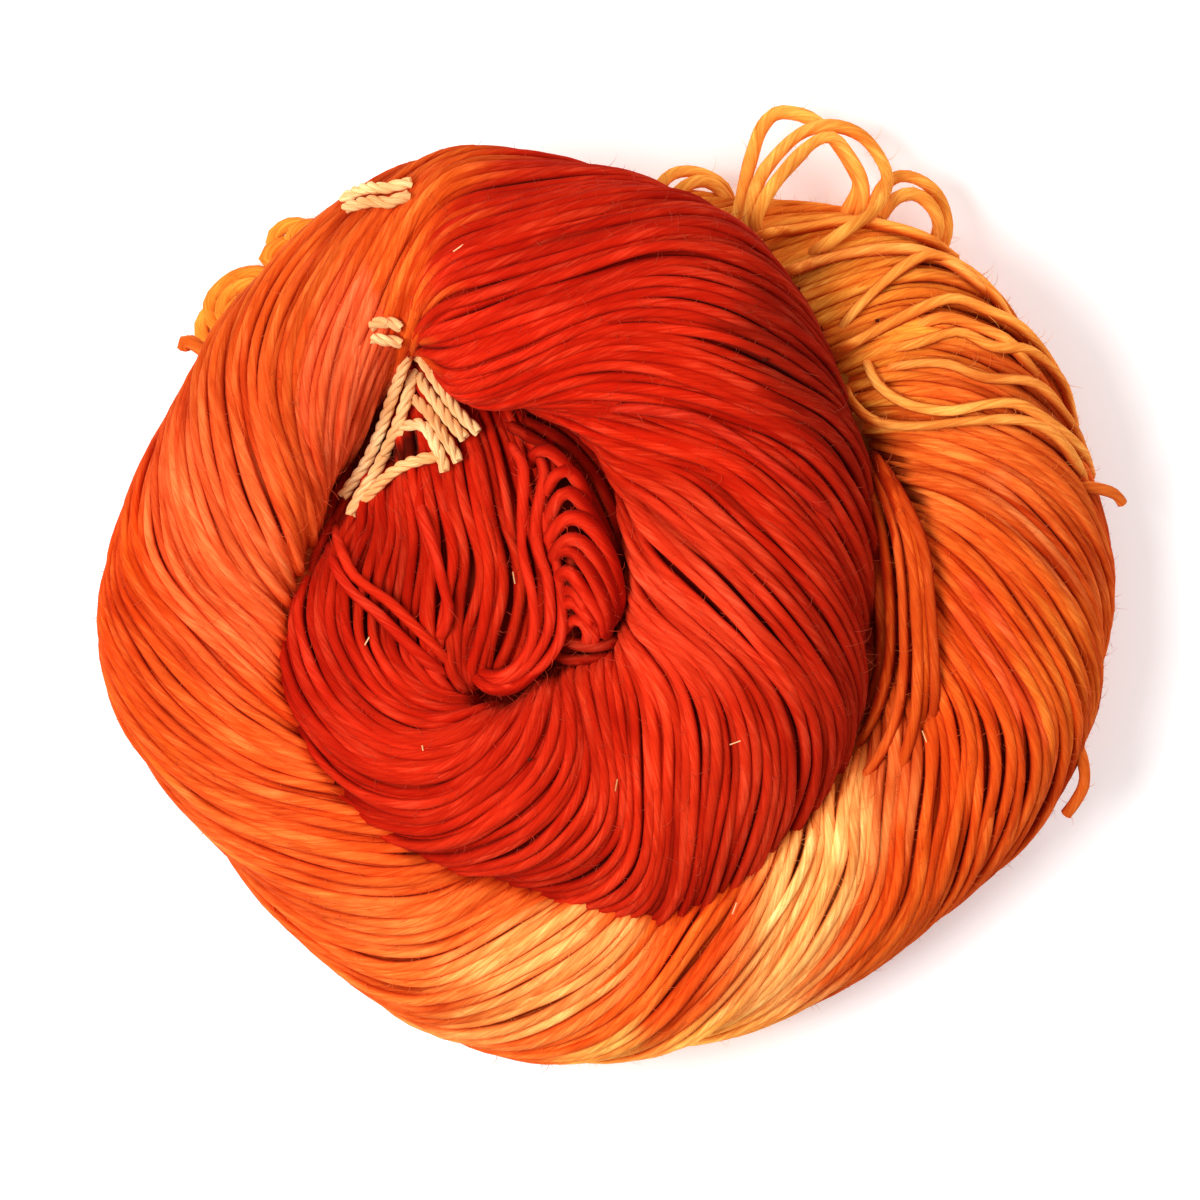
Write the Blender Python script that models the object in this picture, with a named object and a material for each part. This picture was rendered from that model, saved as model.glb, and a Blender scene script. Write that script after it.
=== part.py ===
"""A hank of hand-dyed singles yarn, twisted on itself and laid down as a flat spiral.

The hank is one long loop of many turns of yarn. Twisting it gives a rope of two
legs, and the rope is coiled clockwise into a rosette: its first end lies under the
coil at the upper left, and its last end is tucked in under the coil at the middle.
Cotton ties hold the turns together, and a few loops of the yarn stand out at the ends.

Metres, +Z up. The origin is on the table, under the middle of the hank.
"""
import math

import bmesh
import bpy
from mathutils import Matrix, Vector
from mathutils.bvhtree import BVHTree

MM = 0.001

# Yarn, ties and the gap kept between neighbouring pieces
YARN = 2.5 * MM
COTTON = 1.8 * MM
GAP = 0.3 * MM

# Cross-section of the twisted rope
GROOVE_DEPTH = 0.20      # how far the valley between the two legs goes in
GROOVE_SHARPNESS = 0.7   # below 1 gives two round legs and a narrow valley
OUTER_OVAL = 0.85        # shape of the outer half: 1 is an ellipse, less is squarer
INNER_OVAL = 0.68        # the inner half is squeezed against the next coil
RING_SIDES = 48
RINGS_PER_ROW = 6

# Surface of the solid
CELL = 2.4 * MM
TRIANGLES = 7600

# The rope, a row for each section across it, in millimetres and degrees.
# outer and inner are the section's two edges seen from above, low and high its
# lowest and highest level, and twist the turn of the two legs. A section whose low
# is below the table is flattened where it rests.
COLUMNS = ("outer_x", "outer_y", "inner_x", "inner_y", "low", "high", "twist")
SECTIONS = (
    # first end, under the coil
    (-68, 58, -67, 52, 2, 10, 450),
    (-62, 68, -60, 45, -2, 18, 415),
    (-45, 77, -44, 42, -3, 22, 370),
    (-5, 81, -6, 42, -3, 24, 300),
    # right side
    (30, 79, 22, 34, -3, 30, 235),
    (60, 75, 40, 28, -3, 34, 180),
    (81, 56, 50, 22, -3, 37, 135),
    (94, 29, 52, 14, -3, 38, 85),
    (103, -2, 52, 2, -3, 38, 30),
    (99, -28, 49, -20, -3, 38, -20),
    (85, -50, 41, -34, -3, 38, -60),
    (66, -67, 29, -43, -3, 38, -98),
    # front
    (43, -84, 18, -48, -3, 38, -135),
    (18, -95, 6, -50, -3, 38, -175),
    (-10, -97, -10, -50, -3, 38, -225),
    (-37, -90, -26, -48, -3, 38, -275),
    (-63, -72, -38, -42, -3, 38, -325),
    # left side
    (-84, -50, -50, -32, -3, 38, -367),
    (-99, -27, -57, -18, -3, 38, -410),
    (-103, -5, -60, -4, -3, 38, -447),
    (-97, 20, -58, 9, -3, 39, -497),
    (-88, 41, -54, 18, -3, 41, -537),
    (-74, 60, -48, 30, -3, 44, -572),
    # over the first end
    (-54, 77, -42, 42, 0, 47, -597),
    (-32, 87, -38, 46, 8, 51, -645),
    (-12, 86, -33, 38, 14, 54, -677),
    (7, 84, -27, 33, 18, 57, -705),
    (23, 77, -15, 32, 20, 58, -735),
    (36, 61, -5, 28, 20, 58, -768),
    (46, 41, 0, 20, 16, 57, -805),
    # inside of the coil
    (52, 21, 2, 7, 8, 56, -838),
    (56, -3, 2, -1, -3, 54, -875),
    (54, -23, 2, -9, -3, 52, -905),
    (46, -40, 0, -15, -3, 51, -935),
    (34, -55, -3, -18, -3, 50, -965),
    (16, -71, -8, -21, -3, 49, -1000),
    (-4, -70, -14, -22, -3, 48, -1035),
    (-22, -64, -20, -22, -3, 47, -1065),
    (-42, -56, -24, -21, -3, 46, -1095),
    (-58, -43, -26, -21, -3, 45, -1120),
    # last end, turned up through the middle and tucked in
    (-67, -25, -27, -21, -3, 44, -1145),
    (-68, -11, -25, -21, -3, 43, -1165),
    (-64, 2, -19, -19, -3, 42, -1180),
    (-58, 10, -11, -13, -3, 41, -1195),
    (-54, 14, -4, -2, -3, 40, -1205),
    (-52, 20, -3, 11, -3, 37, -1215),
    (-49, 32, -8, 24, -3, 34, -1225),
    (-50, 42, -14, 38, -3, 31, -1235),
    (-52, 52, -22, 52, -3, 28, -1245),
)

# Curled turns that fill the middle beside the last end: centre and half sizes
CURLS_CENTRE = (-4, 0, 8)
CURLS_REACH = (19, 30, 27)

# Loops of yarn that stand out past the hank: name, then (x, y, z) in millimetres
YARN_LOOPS = (
    ("end_loop_1", ((26, 72, 30), (27, 79, 24), (29, 86, 16), (32, 93, 10), (38, 95, 8),
                    (43, 92, 7.5), (46, 87, 8), (48, 81, 12))),
    ("end_loop_2", ((30, 72, 33), (31.5, 78, 27), (35, 86, 19), (41, 91.5, 13), (48, 91.5, 11.5),
                    (53, 87, 12), (55, 81, 15), (54, 76, 21), (51, 71, 29))),
    ("side_loop", ((59, 77, 14), (63, 79.5, 12), (68, 77, 10), (69, 72, 11), (68, 68, 14))),
    ("small_loop", ((11, 83, 19), (15, 83.5, 13), (20, 82.5, 10), (24, 79, 12))),
    ("left_loop_1", ((-58, 70, 6), (-63, 72.5, 5), (-68, 71, 4), (-67, 67, 4), (-63, 65, 4.5))),
    ("left_loop_2", ((-70, 60, 5), (-77, 61, 4), (-81, 56, 3), (-80, 51, 3), (-77, 49, 3.5))),
)

# Snipped ends of the yarn at the outer edge
YARN_ENDS = (
    ("loose_end_right", ((95, 19, 24), (99, 18.5, 22.5), (102.3, 17, 20))),
    ("loose_end_front", ((94, -34, 24), (94.5, -39, 23), (91.5, -44, 21))),
)

# Cotton ties, laid on the hank: name, then (x, y) in millimetres
TIES = (
    ("tie_left_outer", ((-40, 45.5), (-44, 36), (-47, 27), (-51, 20), (-54, 17))),
    ("tie_left_inner", ((-38.5, 43), (-40.5, 34), (-44, 26), (-48.5, 19), (-51.5, 14))),
    ("tie_return", ((-47.5, 18.5), (-43.5, 22), (-39.5, 24.5), (-35, 25))),
    ("tie_right_outer", ((-37.5, 44.5), (-34, 40.5), (-30.5, 36), (-26.5, 31))),
    ("tie_right_inner", ((-37, 41.5), (-34, 37.5), (-31, 33), (-28, 29))),
    ("tie_tail_upper", ((-37.5, 37), (-35.5, 33.5), (-32, 29.5), (-29.5, 25.5))),
    ("tie_tail_lower", ((-37.5, 33), (-36, 30), (-33.5, 26.5), (-32, 23.5))),
    ("edge_tie_upper", ((-51, 77.6), (-48, 78.4), (-44.5, 78.2), (-41, 79))),
    ("edge_tie_lower", ((-50.5, 75), (-47, 75.6), (-44, 75.2), (-41.2, 76.2))),
    ("small_tie_upper", ((-46.5, 51.5), (-44.5, 51.8), (-42.5, 51.3))),
    ("small_tie_lower", ((-46.3, 48.6), (-44.5, 48.2), (-42.6, 48))),
)


def clear_scene():
    for thing in list(bpy.data.objects):
        bpy.data.objects.remove(thing, do_unlink=True)


def fibre_material(name, colour):
    """A matt fibre surface."""
    material = bpy.data.materials.new(name)
    material.use_nodes = True
    shader = material.node_tree.nodes["Principled BSDF"]
    shader.inputs["Base Color"].default_value = (*colour, 1.0)
    shader.inputs["Roughness"].default_value = 0.9
    shader.inputs["Metallic"].default_value = 0.0
    return material


def eased(points, place):
    """The point at a fractional place along a smooth curve through the points."""
    last = len(points) - 1
    start = min(int(place), last - 1)
    part = place - start
    before = points[max(start - 1, 0)]
    here = points[start]
    there = points[start + 1]
    after = points[min(start + 2, last)]
    return [
        0.5 * (2 * b + (c - a) * part + (2 * a - 5 * b + 4 * c - d) * part ** 2
               + (3 * b - a - 3 * c + d) * part ** 3)
        for a, b, c, d in zip(before, here, there, after)
    ]


def power(value, exponent):
    return math.copysign(abs(value) ** exponent, value)


def section_ring(row):
    """The closed outline of the two legs at one section of the rope."""
    section = dict(zip(COLUMNS, row))
    outer = Vector((section["outer_x"], section["outer_y"], 0)) * MM
    inner = Vector((section["inner_x"], section["inner_y"], 0)) * MM
    middle = (outer + inner) / 2
    half_width = (outer - inner) / 2
    level = (section["high"] + section["low"]) / 2 * MM
    half_height = (section["high"] - section["low"]) / 2 * MM
    ring = []
    for side in range(RING_SIDES):
        around = 2 * math.pi * side / RING_SIDES
        turn = math.radians(section["twist"]) + around
        reach = 1 - GROOVE_DEPTH * (1 - abs(math.sin(around)) ** GROOVE_SHARPNESS)
        oval = OUTER_OVAL if math.cos(turn) > 0 else INNER_OVAL
        across = power(reach * math.cos(turn), oval)
        up = power(reach * math.sin(turn), oval)
        ring.append(middle + half_width * across + Vector((0, 0, level + half_height * up)))
    return ring


def swept_rope():
    """The rope as one skin, crossing itself where a turn of the coil lies on another."""
    shape = bmesh.new()
    places = (len(SECTIONS) - 1) * RINGS_PER_ROW
    rings = []
    for step in range(places + 1):
        row = eased(SECTIONS, step / RINGS_PER_ROW)
        rings.append([shape.verts.new(point) for point in section_ring(row)])
    for ring, following in zip(rings, rings[1:]):
        for side in range(RING_SIDES):
            beside = (side + 1) % RING_SIDES
            shape.faces.new((ring[side], ring[beside], following[beside], following[side]))
    shape.faces.new(list(reversed(rings[0])))
    shape.faces.new(rings[-1])
    curls = Matrix.LocRotScale(Vector(CURLS_CENTRE) * MM, None, Vector(CURLS_REACH) * MM)
    bmesh.ops.create_uvsphere(shape, u_segments=24, v_segments=12, radius=1.0, matrix=curls)
    bmesh.ops.recalc_face_normals(shape, faces=shape.faces)
    mesh = bpy.data.meshes.new("rope_skin")
    shape.to_mesh(mesh)
    shape.free()
    return mesh


def evaluated_mesh(guide):
    """A plain mesh of an object as its modifiers leave it."""
    graph = bpy.context.evaluated_depsgraph_get()
    return bpy.data.meshes.new_from_object(guide.evaluated_get(graph))


def largest_shell(shape):
    """Delete every closed shell but the one with the most faces."""
    unseen = set(shape.faces)
    shells = []
    while unseen:
        shell = [unseen.pop()]
        for face in shell:
            for edge in face.edges:
                for neighbour in edge.link_faces:
                    if neighbour in unseen:
                        unseen.remove(neighbour)
                        shell.append(neighbour)
        shells.append(shell)
    shells.sort(key=len)
    for shell in shells[:-1]:
        bmesh.ops.delete(shape, geom=shell, context="FACES")
    loose = [vert for vert in shape.verts if not vert.link_faces]
    bmesh.ops.delete(shape, geom=loose, context="VERTS")


def hank_solid(material):
    """The coiled rope as one closed solid with a flat underside."""
    guide = bpy.data.objects.new("rope_guide", swept_rope())
    bpy.context.collection.objects.link(guide)
    skin = guide.modifiers.new("Skin", "REMESH")
    skin.mode = "VOXEL"
    skin.voxel_size = CELL
    bpy.context.view_layer.update()
    fine = evaluated_mesh(guide)
    faces = sum(len(polygon.vertices) - 2 for polygon in fine.polygons)
    fewer = guide.modifiers.new("Fewer", "DECIMATE")
    fewer.ratio = TRIANGLES / faces
    bpy.context.view_layer.update()
    mesh = evaluated_mesh(guide)
    shape = bmesh.new()
    shape.from_mesh(mesh)
    largest_shell(shape)
    for vert in shape.verts:
        vert.co.z = max(vert.co.z, 0.0)
    bmesh.ops.triangulate(shape, faces=shape.faces)
    shape.to_mesh(mesh)
    shape.free()
    bpy.data.objects.remove(guide, do_unlink=True)
    mesh.name = "hank"
    mesh.shade_smooth()
    hank = bpy.data.objects.new("hank", mesh)
    hank.data.materials.append(material)
    bpy.context.collection.objects.link(hank)
    return hank


def smooth_route(points, spacing):
    """Evenly spaced points on a smooth curve through the route's own points."""
    fine = [Vector(eased(points, step / 20)) for step in range(20 * (len(points) - 1))]
    fine.append(Vector(points[-1]))
    route = [fine[0]]
    for point in fine:
        if (point - route[-1]).length >= spacing:
            route.append(point)
    if (fine[-1] - route[-1]).length < spacing / 2 and len(route) > 2:
        route.pop()
    route.append(fine[-1])
    return route


def tube(name, route, diameter, material):
    """A round cord along the route with closed ends."""
    curve = bpy.data.curves.new(name, "CURVE")
    curve.dimensions = "3D"
    curve.bevel_depth = diameter / 2
    curve.bevel_resolution = 2
    curve.use_fill_caps = True
    spline = curve.splines.new("POLY")
    spline.points.add(len(route) - 1)
    for slot, point in zip(spline.points, route):
        slot.co = (*point, 1.0)
    cord = bpy.data.objects.new(name, curve)
    cord.data.materials.append(material)
    bpy.context.collection.objects.link(cord)
    return cord


def clearance(tree, point):
    """How far a point is outside the hank, and the way out of it."""
    place, normal, _, distance = tree.find_nearest(point)
    inside = (point - place).dot(normal) < 0
    return (-distance if inside else distance), place, normal


def pushed_clear(tree, point, need):
    """The point, moved out until it is clear of the hank."""
    for _ in range(12):
        room, place, normal = clearance(tree, point)
        if room >= need:
            break
        point = place + normal * (need + 0.05 * MM)
    return point


def laid_route(tree, flat_points, diameter):
    """A route that lies on the hank along the given (x, y) points."""
    need = diameter / 2 + GAP
    route = []
    for point in smooth_route([(x * MM, y * MM, 0) for x, y in flat_points], 1.3 * diameter):
        above = Vector((point.x, point.y, 0.1))
        hit = tree.ray_cast(above, Vector((0, 0, -1)))[0]
        if hit is None:
            hit = tree.find_nearest(above)[0]
        route.append(pushed_clear(tree, Vector((point.x, point.y, hit.z + need)), need))
    return route


def standing_route(tree, points, diameter):
    """The stretch of a smooth route that is clear of the hank."""
    need = diameter / 2 + GAP
    fine = smooth_route([Vector(point) * MM for point in points], 0.2 * diameter)
    clear = [point for point in fine if clearance(tree, point)[0] >= need]
    return smooth_route(clear, diameter)


def build():
    clear_scene()
    wool = fibre_material("dyed_wool", (0.62, 0.07, 0.02))
    yellow_wool = fibre_material("yellow_dyed_wool", (0.85, 0.33, 0.05))
    cotton = fibre_material("cotton_tie", (0.87, 0.60, 0.31))
    hank = hank_solid(wool)
    tree = BVHTree.FromPolygons(
        [vert.co for vert in hank.data.vertices],
        [polygon.vertices for polygon in hank.data.polygons])
    for name, points in YARN_LOOPS:
        tube(name, standing_route(tree, points, YARN), YARN, yellow_wool)
    for name, points in YARN_ENDS:
        tube(name, standing_route(tree, points, YARN), YARN, wool)
    for name, points in TIES:
        tube(name, laid_route(tree, points, COTTON), COTTON, cotton)


build()
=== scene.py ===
import math

import bmesh
import bpy
import numpy as np
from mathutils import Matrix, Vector
from mathutils.bvhtree import BVHTree


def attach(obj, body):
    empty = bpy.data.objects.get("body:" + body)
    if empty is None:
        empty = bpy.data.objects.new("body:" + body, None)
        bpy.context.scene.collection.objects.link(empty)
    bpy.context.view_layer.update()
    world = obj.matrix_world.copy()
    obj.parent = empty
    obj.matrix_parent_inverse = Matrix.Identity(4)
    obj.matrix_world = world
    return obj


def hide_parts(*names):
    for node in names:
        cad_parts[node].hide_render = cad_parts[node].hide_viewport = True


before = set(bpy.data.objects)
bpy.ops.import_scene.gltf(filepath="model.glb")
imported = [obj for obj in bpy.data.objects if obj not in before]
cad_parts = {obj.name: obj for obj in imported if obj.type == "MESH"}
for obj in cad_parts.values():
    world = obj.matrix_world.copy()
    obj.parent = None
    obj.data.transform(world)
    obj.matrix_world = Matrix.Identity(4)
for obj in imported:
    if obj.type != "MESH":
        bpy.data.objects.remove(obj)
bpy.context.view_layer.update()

mm = 0.001


# an sRGB hex colour as three linear values
def hexToLinear(text):
    parts = [int(text[i:i + 2], 16) / 255 for i in (1, 3, 5)]
    return [p / 12.92 if p <= 0.04045 else ((p + 0.055) / 1.055) ** 2.4 for p in parts]


# one node with its settings, each input either linked or set
def addNode(tree, kind, inputs=None, **settings):
    node = tree.nodes.new(kind)
    for name, value in settings.items():
        setattr(node, name, value)
    for slot, value in (inputs or {}).items():
        if isinstance(value, bpy.types.NodeSocket):
            tree.links.new(value, node.inputs[slot])
        else:
            node.inputs[slot].default_value = value
    return node


def addObject(name, data):
    obj = bpy.data.objects.new(name, data)
    bpy.context.collection.objects.link(obj)
    return obj


# stores the dye, with any painted shade worked into it, at each point
def storeDyeAndShade(mesh, colours):
    withAlpha = np.concatenate((np.array(colours), np.ones((len(colours), 1))), axis=1)
    layer = mesh.attributes.new("dye", "FLOAT_COLOR", "POINT")
    layer.data.foreach_set("color", withAlpha.astype(np.float32).ravel())


def storeValues(mesh, name, values):
    mesh.attributes.new(name, "FLOAT", "POINT").data.foreach_set("value", np.array(values, np.float32))


# length run from the first point to each point of a path
def runAlong(points):
    return np.concatenate(([0], np.cumsum(np.linalg.norm(np.diff(points, axis=0), axis=1))))


# the rope of yarn: two twisted legs, each an upper and an under layer of strands
rope = {
    "strandsPerLeg": 36,
    "yarnRadius": 1.16 * mm,
    "raise": 0.7 * mm,  # a proud strand lies this far outside the wound surface
    "sink": 1.1 * mm,  # a sunk one lies this far inside it
    "sinkMean": 0.42,  # from 0, proud, to 1, sunk
    "sinkSwing": 0.7,
    "sinkLength": 65 * mm,
    "drift": 0.5,  # sideways wander, in strand widths
    "driftLength": 80 * mm,
    "ripple": 0.08,
    "rippleLength": 30 * mm,
    "clump": 0.22,  # how far neighbours draw together
    "clumpStrands": 3.3,
    "clumpSwing": 2.5,
    "clumpLength": 150 * mm,
    "legEdge": 0.004,  # share of a leg's arc that stays free at each edge
    "grooveDepth": 0.20,  # valley between the legs, as a share of the rope's half width
    "grooveSharpness": 0.7,
    "outerOval": 0.85,
    "innerOval": 0.68,
    "thinnest": 1 * mm,
    "lowest": 1.9 * mm,  # centre of a strand that lies on the floor
    "dipBelow": -1.5 * mm,  # strands that dip under this are inside the flat underside
    "underLayerInset": 1.7 * mm,
    "hiddenDepth": 5.0 * mm,  # strands deeper in the wool than this are left out
    "shortestRun": 4,  # stations
    "stationsPerRow": 9,
    "stepsPerLeg": 96,
    "softening": (1, 2, 3, 4, 5, 4, 3, 2, 1),  # weights of neighbouring stations
    "thickAndThin": 0.55,
    "wander": 0.7 * mm,
    "thickness": (0.92, 1.08),
    "seed": 11,
}

# outer x, outer y, inner x, inner y, low, high in mm, then the twist of the legs in degrees
ropeSections = np.array((
    (-68, 58, -67, 52, 2, 10, 450),
    (-62, 68, -60, 45, -2, 18, 415),
    (-45, 77, -44, 42, -3, 22, 370),
    (-5, 81, -6, 42, -3, 24, 300),
    (30, 79, 22, 34, -3, 30, 235),
    (60, 75, 40, 28, -3, 34, 180),
    (81, 56, 50, 22, -3, 37, 135),
    (94, 29, 52, 14, -3, 38, 85),
    (103, -2, 52, 2, -3, 38, 30),
    (99, -28, 49, -20, -3, 38, -20),
    (85, -50, 41, -34, -3, 38, -60),
    (66, -67, 29, -43, -3, 38, -98),
    (43, -84, 18, -48, -3, 38, -135),
    (18, -95, 6, -50, -3, 38, -175),
    (-10, -97, -10, -50, -3, 38, -225),
    (-37, -90, -26, -48, -3, 38, -275),
    (-63, -72, -38, -42, -3, 38, -325),
    (-84, -50, -50, -32, -3, 38, -367),
    (-99, -27, -57, -18, -3, 38, -410),
    (-103, -5, -60, -4, -3, 38, -447),
    (-97, 20, -58, 9, -3, 39, -497),
    (-88, 41, -54, 18, -3, 41, -537),
    (-74, 60, -48, 30, -3, 44, -572),
    (-54, 77, -42, 42, 0, 47, -597),
    (-32, 87, -38, 46, 8, 51, -645),
    (-12, 86, -33, 38, 14, 54, -677),
    (7, 84, -27, 33, 18, 57, -705),
    (23, 77, -15, 32, 20, 58, -735),
    (36, 61, -5, 28, 20, 58, -768),
    (46, 41, 0, 20, 16, 57, -805),
    (52, 21, 2, 7, 8, 56, -838),
    (56, -3, 1, -2, -3, 54, -875),
    (54, -23, -2, -9, -3, 52, -905),
    (46, -40, -5, -13, -3, 51, -935),
    (34, -55, -9, -15, -3, 50, -965),
    (16, -71, -13, -18, -3, 49, -1000),
    (-4, -70, -17, -20, -3, 48, -1035),
    (-22, -64, -20, -22, -3, 47, -1065),
    (-42, -56, -24, -21, -3, 46, -1095),
    (-58, -43, -26, -21, -3, 45, -1120),
    (-67, -25, -27, -21, -3, 44, -1145),
    (-68, -11, -25, -21, -3, 43, -1165),
    (-64, 2, -19, -19, -3, 42, -1180),
    (-58, 10, -12, -13, -3, 41, -1195),
    (-54, 14, -8, -2, -3, 40, -1205),
    (-52, 20, -9, 11, -3, 37, -1215),
    (-49, 32, -11, 24, -3, 34, -1225),
    (-50, 42, -14, 38, -3, 31, -1235),
    (-52, 52, -22, 52, -3, 28, -1245),
), float)

# dye along the rope: row of the section table, colour
dyeStops = (
    (0, "#ff9c40"), (2, "#fc9638"), (4, "#f28a2e"), (5.2, "#f28228"), (6.2, "#ea6822"), (7.2, "#e45a1c"),
    (8, "#e05014"), (10, "#e85214"), (12, "#ee5c18"), (14, "#f4621e"), (15, "#f66624"), (16, "#f05a1c"),
    (17, "#ec581e"), (19, "#e64e16"), (21, "#e0501c"), (22.5, "#d64c14"), (23.8, "#dc4c12"),
    (24.25, "#c82008"), (26, "#ce2008"), (29, "#c41e06"), (31, "#cc260c"), (34, "#d22a0e"),
    (37, "#ca220a"), (39, "#ca220a"), (41, "#c4200a"), (44, "#cc240a"), (46, "#c01e08"), (48, "#a81604"),
)
# painted shade: how much darker the outer side of the rope is made, at rows of the section table
outerSideShade = (
    (0, 0.0), (3, 0.0), (7, 0.14), (9, 0.28), (12, 0.22), (14, 0.08), (18, 0.14), (21, 0.16),
    (24, 0.16), (26, 0.3), (29, 0.38), (32, 0.36), (35, 0.2), (39, 0.12), (48, 0.1),
)
# pools of dye, some of them painted shade and one a painted highlight: first and last row of the
# section table, centre x, y, half length, half width, heading in degrees, colour, strength
dyeAndShadePools = (
    (0, 23, 37, -64, 38, 11, 62, "#ffa656", 1.0),
    (0, 23, 10, -93, 26, 6, 14, "#ffa84a", 1.0),
    (0, 23, 20, -75, 22, 5, 58, "#ec5214", 0.9),
    (0, 23, -14, -76, 24, 10, 28, "#ff9a4c", 0.9),
    (0, 23, -42, -70, 16, 6, -38, "#fb7a34", 0.7),
    (8, 13, 92, -14, 24, 7, 78, "#e4601a", 0.7),
    (8, 12, 76, -8, 30, 4, -66, "#f2542c", 0.5),
    # painted highlight: a pale strand catching the light
    (7, 12, 82, 14, 26, 2, -50, "#f88848", 0.4),
    (8, 12, 56, -22, 26, 5, 86, "#c8400c", 0.75),
    (15, 21, -98, 2, 17, 5, 84, "#d8440c", 0.9),
    (15, 21, -93, -30, 16, 4, 116, "#e05212", 0.7),
    (15, 23, -78, 5, 14, 26, 12, "#f86a34", 0.7),
    (15, 23, -52, 42, 10, 24, -8, "#f66034", 0.7),
    (20, 24, -70, 58, 24, 6, 52, "#d65014", 0.7),
    (24, 30, -8, 62, 30, 9, -8, "#bc1a06", 0.8),
    # painted shade on the upper turn's side that faces away from the light
    (24, 33, 40, 42, 26, 10, -58, "#8c1404", 0.9),
    (28, 38, 14, 0, 20, 18, -40, "#de381a", 0.8),
    (34, 42, -10, -30, 26, 8, 18, "#bc1e08", 0.6),
    (38, 48, -46, 2, 12, 14, 60, "#a81804", 0.8),
    # painted shadow in the hollow between the tie's legs
    (38, 48, -40.2, 26.9, 6, 3.2, -10, "#4c0a02", 1.0),
    # painted shade in the dark gap beside the turn's pivot
    (5, 11, 57, 17, 11, 3.2, -62, "#6a1c04", 0.9),
)
# how unevenly the strands took the dye, and painted shade: sunk strands and the under layer darker, proud
# strands lighter
dyeAndShading = {
    "slip": 0.2,  # rows of the section table
    "jitter": 2.0 * mm,
    "skewRows": (22.5, 23.5, 25.6, 26.6),  # the red starts on a slant here
    "skew": (0, 0.7, 0.7, 0),
    "edgeStart": 0.5,  # share of the rope's width where its outer side starts
    "edgeWidth": 0.4,
    "patch": 0.7,
    "patchLength": 55 * mm,
    "patchTint": (0.04, 0.17, 0.22),  # red changes least from patch to patch
    "strandTone": (0.86, 1.08),
    "proudLight": 1.1,
    "sunkShade": 0.24,
    "shadeTint": (1, 2, 2.6),  # painted shade: sunk strands turn darker and redder, proud ones lighter
    "underLayerShade": 0.62,
}


# a table's rows at fractional places, on a smooth curve through them
def eased(rows, places):
    last = len(rows) - 1
    start = np.clip(np.floor(places).astype(int), 0, last - 1)
    part = (places - start)[:, None]
    a = rows[np.clip(start - 1, 0, last)]
    b = rows[start]
    c = rows[start + 1]
    d = rows[np.clip(start + 2, 0, last)]
    return 0.5 * (2 * b + (c - a) * part + (2 * a - 5 * b + 4 * c - d) * part ** 2
                  + (3 * b - a - 3 * c + d) * part ** 3)


def signedPower(values, exponent):
    return np.copysign(np.abs(values) ** exponent, values)


# points round each section, on the wound surface moved inward by the inset
def ringPoints(sections, inset, around):
    outer, inner = sections[:, 0:2] * mm, sections[:, 2:4] * mm
    low, high = sections[:, 4] * mm, sections[:, 5] * mm
    twist = np.radians(sections[:, 6])
    width = np.linalg.norm(outer - inner, axis=1) / 2
    across = (outer - inner) / (2 * width[:, None])
    middle = (outer + inner) / 2
    halfWidth = np.maximum(width - inset, rope["thinnest"])
    halfHeight = np.maximum((high - low) / 2 - inset, rope["thinnest"])
    reach = 1 - rope["grooveDepth"] * (1 - np.abs(np.sin(around)) ** rope["grooveSharpness"])
    turn = twist[:, None] + around[None, :]
    oval = np.where(np.cos(turn) > 0, rope["outerOval"], rope["innerOval"])
    side = signedPower(reach * np.cos(turn), oval) * halfWidth[:, None]
    up = signedPower(reach * np.sin(turn), oval) * halfHeight[:, None]
    points = np.empty((len(sections), len(around), 3))
    points[..., 0:2] = middle[:, None, :] + across[:, None, :] * side[..., None]
    points[..., 2] = ((high + low) / 2)[:, None] + up
    return points


# a smooth wander between about -1 and 1
def wave(rng, run, wavelength):
    octaves = (1.0, 0.53, 0.29)
    total = np.zeros_like(run)
    for octave in octaves:
        phase = rng.uniform(0, 2 * math.pi)
        total += octave * np.sin(2 * math.pi * run / (wavelength * octave) + phase)
    return total / sum(octaves)


# a running mean, which takes the corners off a path
def softened(points, weights):
    reach = len(weights) // 2
    padded = np.pad(points, ((reach, reach), (0, 0)), mode="edge")
    return sum(w * padded[i:i + len(points)] for i, w in enumerate(weights)) / sum(weights)


# points on the rings at fractional steps, one for each station
def pointsOnRings(rings, at):
    stations = np.arange(len(rings))
    step = np.minimum(at.astype(int), rings.shape[1] - 2)
    part = (at - step)[:, None]
    return rings[stations, step] + part * (rings[stations, step + 1] - rings[stations, step])


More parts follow.
